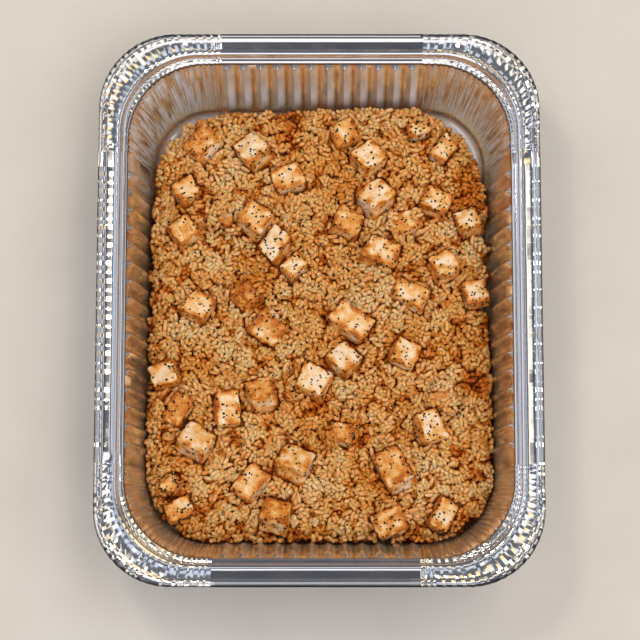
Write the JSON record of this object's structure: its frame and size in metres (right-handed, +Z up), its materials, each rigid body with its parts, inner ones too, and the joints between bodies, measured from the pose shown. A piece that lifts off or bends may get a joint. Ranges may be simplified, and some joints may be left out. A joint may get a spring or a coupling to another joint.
{
  "type": "foil tray meal",
  "caption": "Half-size foil pan with curled rim, ribbed walls and crinkled corners, holding an uneven heap of fried rice with diced, seared and peppered chicken in it.",
  "frame": {"origin": "centre of the tray's footprint, on the surface that it stands on", "axes": "+X across the tray, +Y along it to the end that is far from the camera in the picture, +Z up"},
  "size_m": [0.2612, 0.3282, 0.0624],
  "materials": {
    "foil": "bright rolled sheet, pressed and crinkled",
    "rice": "moist cooked grains coated in sauce",
    "chicken": "seared golden faces and pale cut faces with cracked pepper",
    "pepper": "cracked black pepper"
  },
  "bodies": {
    "root": {"tray": "foil", "rice": "rice", "chicken_01": "chicken", "chicken_02": "chicken", "chicken_03": "chicken", "chicken_04": "chicken", "chicken_05": "chicken", "chicken_06": "chicken", "chicken_07": "chicken", "chicken_08": "chicken", "chicken_09": "chicken", "chicken_10": "chicken", "chicken_11": "chicken", "chicken_12": "chicken", "chicken_13": "chicken", "chicken_14": "chicken", "chicken_15": "chicken", "chicken_16": "chicken", "chicken_17": "chicken", "chicken_18": "chicken", "chicken_19": "chicken", "chicken_20": "chicken", "chicken_21": "chicken", "chicken_22": "chicken", "chicken_23": "chicken", "chicken_24": "chicken", "chicken_25": "chicken", "chicken_26": "chicken", "chicken_27": "chicken", "chicken_28": "chicken", "chicken_29": "chicken", "chicken_30": "chicken", "chicken_31": "chicken", "chicken_32": "chicken", "chicken_33": "chicken", "chicken_34": "chicken", "chicken_35": "chicken", "chicken_36": "chicken", "chicken_37": "chicken", "chicken_38": "chicken", "chicken_39": "chicken", "chicken_40": "chicken", "chicken_41": "chicken", "chicken_42": "chicken", "chicken_43": "chicken", "chicken_44": "chicken", "chicken_45": "chicken"}
  },
  "joints": []
}
